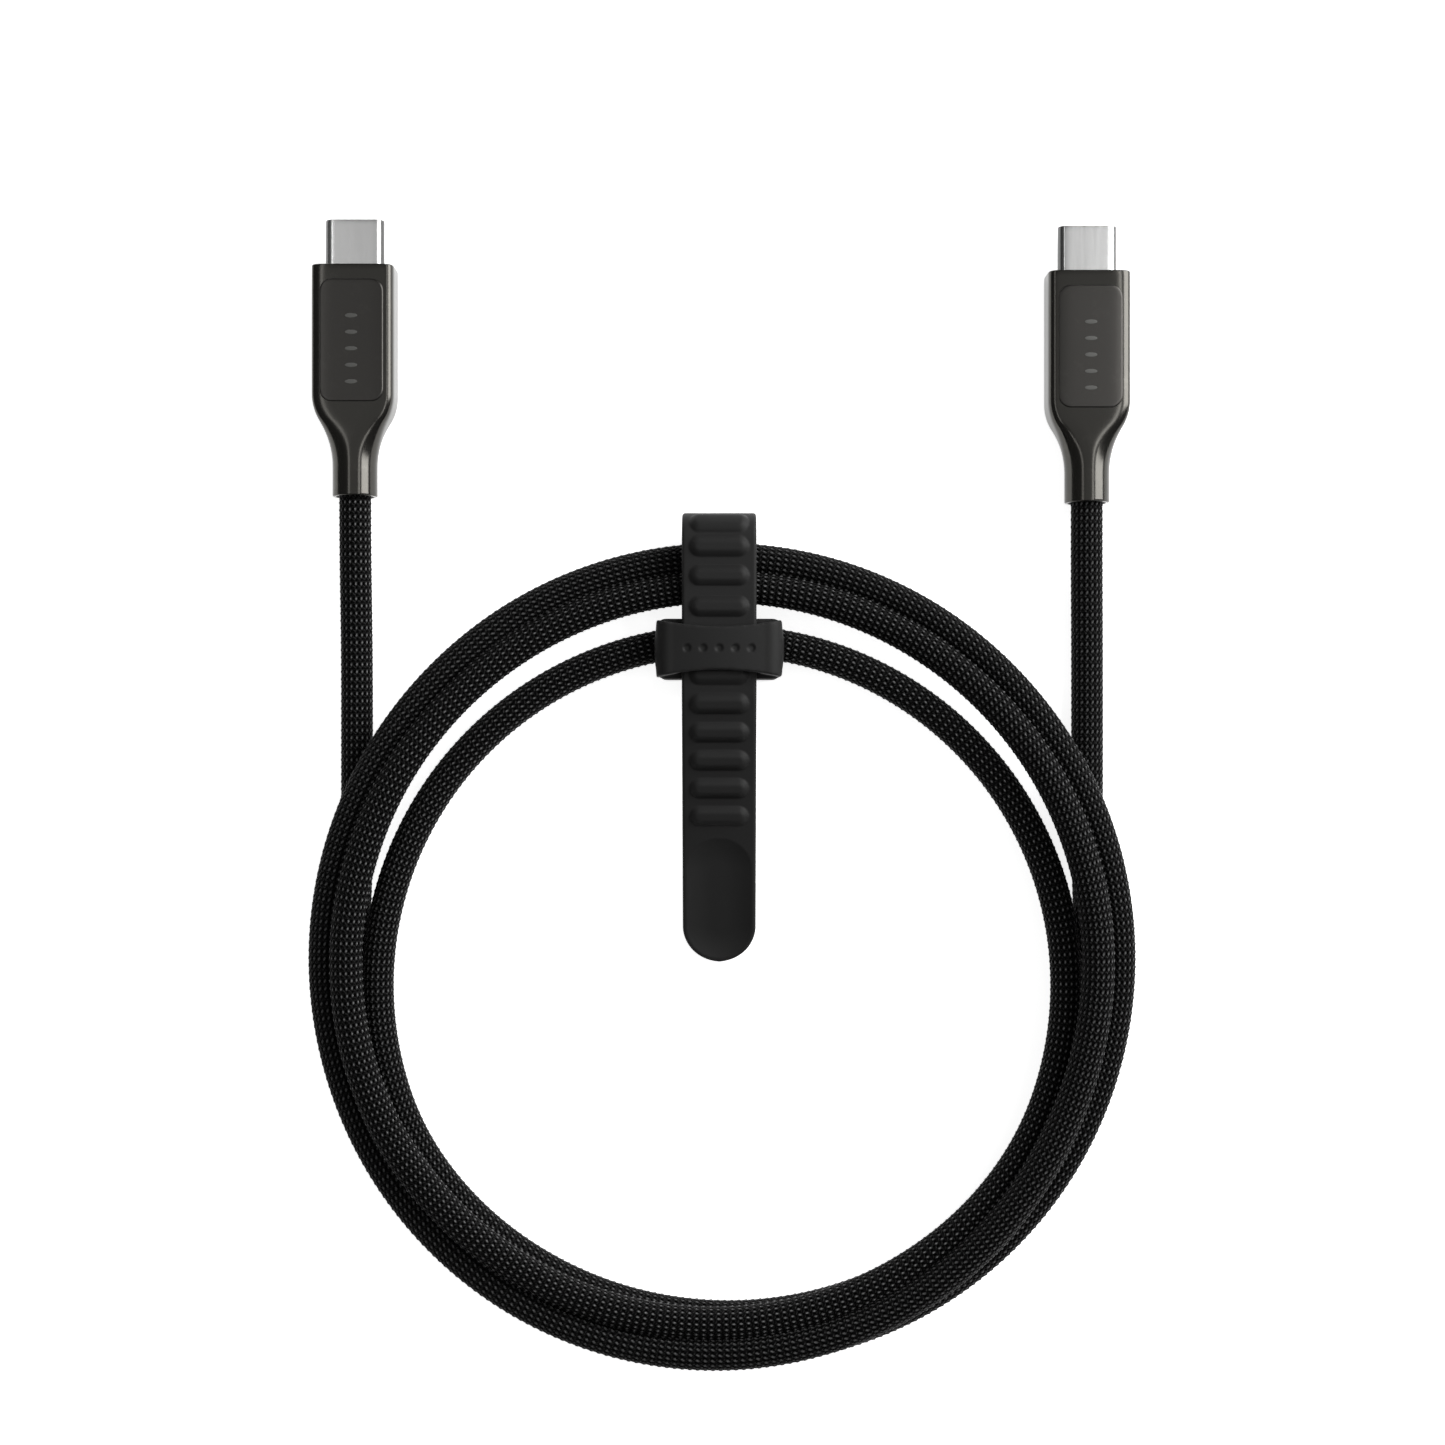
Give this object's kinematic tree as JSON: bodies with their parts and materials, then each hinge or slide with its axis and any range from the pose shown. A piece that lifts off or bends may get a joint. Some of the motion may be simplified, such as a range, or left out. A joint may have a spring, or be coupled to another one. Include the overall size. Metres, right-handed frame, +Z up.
{
  "type": "charging cable",
  "caption": "Braided charging cable with a reversible plug at each end, wound flat in a ring and held by a sliding silicone tie.",
  "frame": {"origin": "under the middle of the box round the two plugs and the tie, on the surface it lies on", "axes": "+Z up, +Y the way the plugs point, +X from plug a to plug b"},
  "size_m": [0.1151, 0.1612, 0.0121],
  "materials": {
    "housing_metal": "gloss gunmetal coating",
    "face_plate": "satin gunmetal coating",
    "front_cap": "moulded",
    "steel": "fine satin",
    "insulator": "moulded",
    "contact": "gold plated",
    "board": "solder mask",
    "chip": "moulded",
    "shield": "stamped",
    "mould": "moulded",
    "power_wire": "insulated core",
    "signal_wire": "insulated core",
    "ground_wire": "insulated core",
    "crimp": "plain",
    "bush": "matte",
    "braid": "braided nylon",
    "silicone": "matte silicone"
  },
  "bodies": {
    "cable": {"housing_a": "housing_metal", "face_plate_a": "face_plate", "front_cap_a": "front_cap", "connector_shell_a": "steel", "contact_block_a": "insulator", "upper_contacts_a": "contact", "lower_contacts_a": "contact", "latch_plate_a": "steel", "ground_springs_a": "steel", "circuit_board_a": "board", "marker_chip_a": "chip", "capacitors_a": "chip", "shield_can_upper_a": "shield", "shield_can_lower_a": "shield", "inner_mould_a": "mould", "power_wires_a": "power_wire", "signal_wires_a": "signal_wire", "ground_wires_a": "ground_wire", "crimp_ring_a": "crimp", "neck_bush_a": "bush", "housing_b": "housing_metal", "face_plate_b": "face_plate", "front_cap_b": "front_cap", "connector_shell_b": "steel", "contact_block_b": "insulator", "upper_contacts_b": "contact", "lower_contacts_b": "contact", "latch_plate_b": "steel", "ground_springs_b": "steel", "circuit_board_b": "board", "marker_chip_b": "chip", "capacitors_b": "chip", "shield_can_upper_b": "shield", "shield_can_lower_b": "shield", "inner_mould_b": "mould", "power_wires_b": "power_wire", "signal_wires_b": "signal_wire", "ground_wires_b": "ground_wire", "crimp_ring_b": "crimp", "neck_bush_b": "bush", "lead_a": "braid", "lead_b": "braid", "coil": "braid"},
    "tie": {"tie_keeper": "silicone", "tie_band": "silicone"},
    "tail": {"tie_tail": "silicone"}
  },
  "joints": [
    {"name": "tie_slide", "type": "hinge", "parent": "cable", "child": "tie", "pos_m": [0.00015, -0.0551, 0], "axis": [0, 0, 1], "range_deg": [-10, 10]},
    {"name": "tail_lift", "type": "hinge", "parent": "tie", "child": "tail", "pos_m": [-0.00025, -0.0142, 0.0092], "axis": [-1, 0, 0], "range_deg": [0, 70]}
  ]
}
